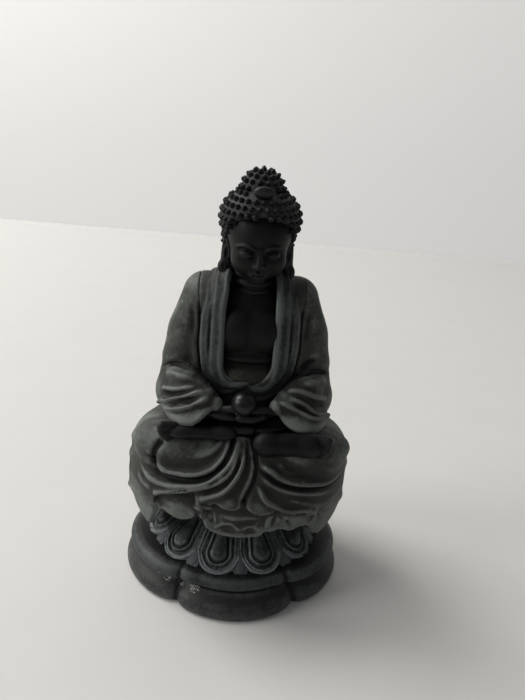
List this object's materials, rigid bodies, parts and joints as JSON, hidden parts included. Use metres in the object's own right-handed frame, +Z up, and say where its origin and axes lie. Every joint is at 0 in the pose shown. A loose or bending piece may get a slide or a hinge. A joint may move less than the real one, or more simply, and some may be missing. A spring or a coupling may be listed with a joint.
{
  "type": "buddha statue",
  "caption": "Small seated buddha with both hands in the lap holding a ball, in a draped robe on a lotus throne with a lobed plinth; a free-standing ornament.",
  "frame": {"origin": "centre of the plinth's underside", "axes": "+Z up, the figure faces -Y, +X is on the viewer's right"},
  "size_m": [0.0602, 0.0578, 0.1082],
  "materials": {
    "plinth_paint": "satin paint over cold-cast resin, cool dry-brushed highlights",
    "petal_paint": "satin paint over cold-cast resin, cool dry-brushed edges",
    "robe_paint": "matte grey-green paint with pale dry-brushed ridges",
    "skin_paint": "satin near-black paint",
    "hair_paint": "satin near-black paint, dusty grey between the curls",
    "ball_lacquer": "polished blue-black lacquer",
    "jewel_lacquer": "polished black lacquer"
  },
  "bodies": {
    "root": {"plinth_foot": "plinth_paint", "plinth_band": "plinth_paint", "lotus_core": "petal_paint", "lotus_petals": "petal_paint", "lotus_petal_tips": "petal_paint", "robe_skirt": "robe_paint", "lap_left": "robe_paint", "lap_right": "robe_paint", "hem_folds": "robe_paint", "foot_left": "skin_paint", "foot_right": "skin_paint", "neck": "skin_paint", "torso": "skin_paint", "hand_lower": "skin_paint", "hand_upper": "skin_paint", "ball": "ball_lacquer", "robe_mantle": "robe_paint", "collar_left": "robe_paint", "collar_right": "robe_paint", "sleeve_left": "robe_paint", "cuff_left": "robe_paint", "sleeve_right": "robe_paint", "cuff_right": "robe_paint", "head": "skin_paint", "hair_cap": "hair_paint", "ushnisha": "hair_paint", "hair_jewel": "jewel_lacquer", "ear_left": "skin_paint", "ear_right": "skin_paint", "hair_curls": "hair_paint", "ushnisha_curls": "hair_paint"}
  },
  "joints": []
}
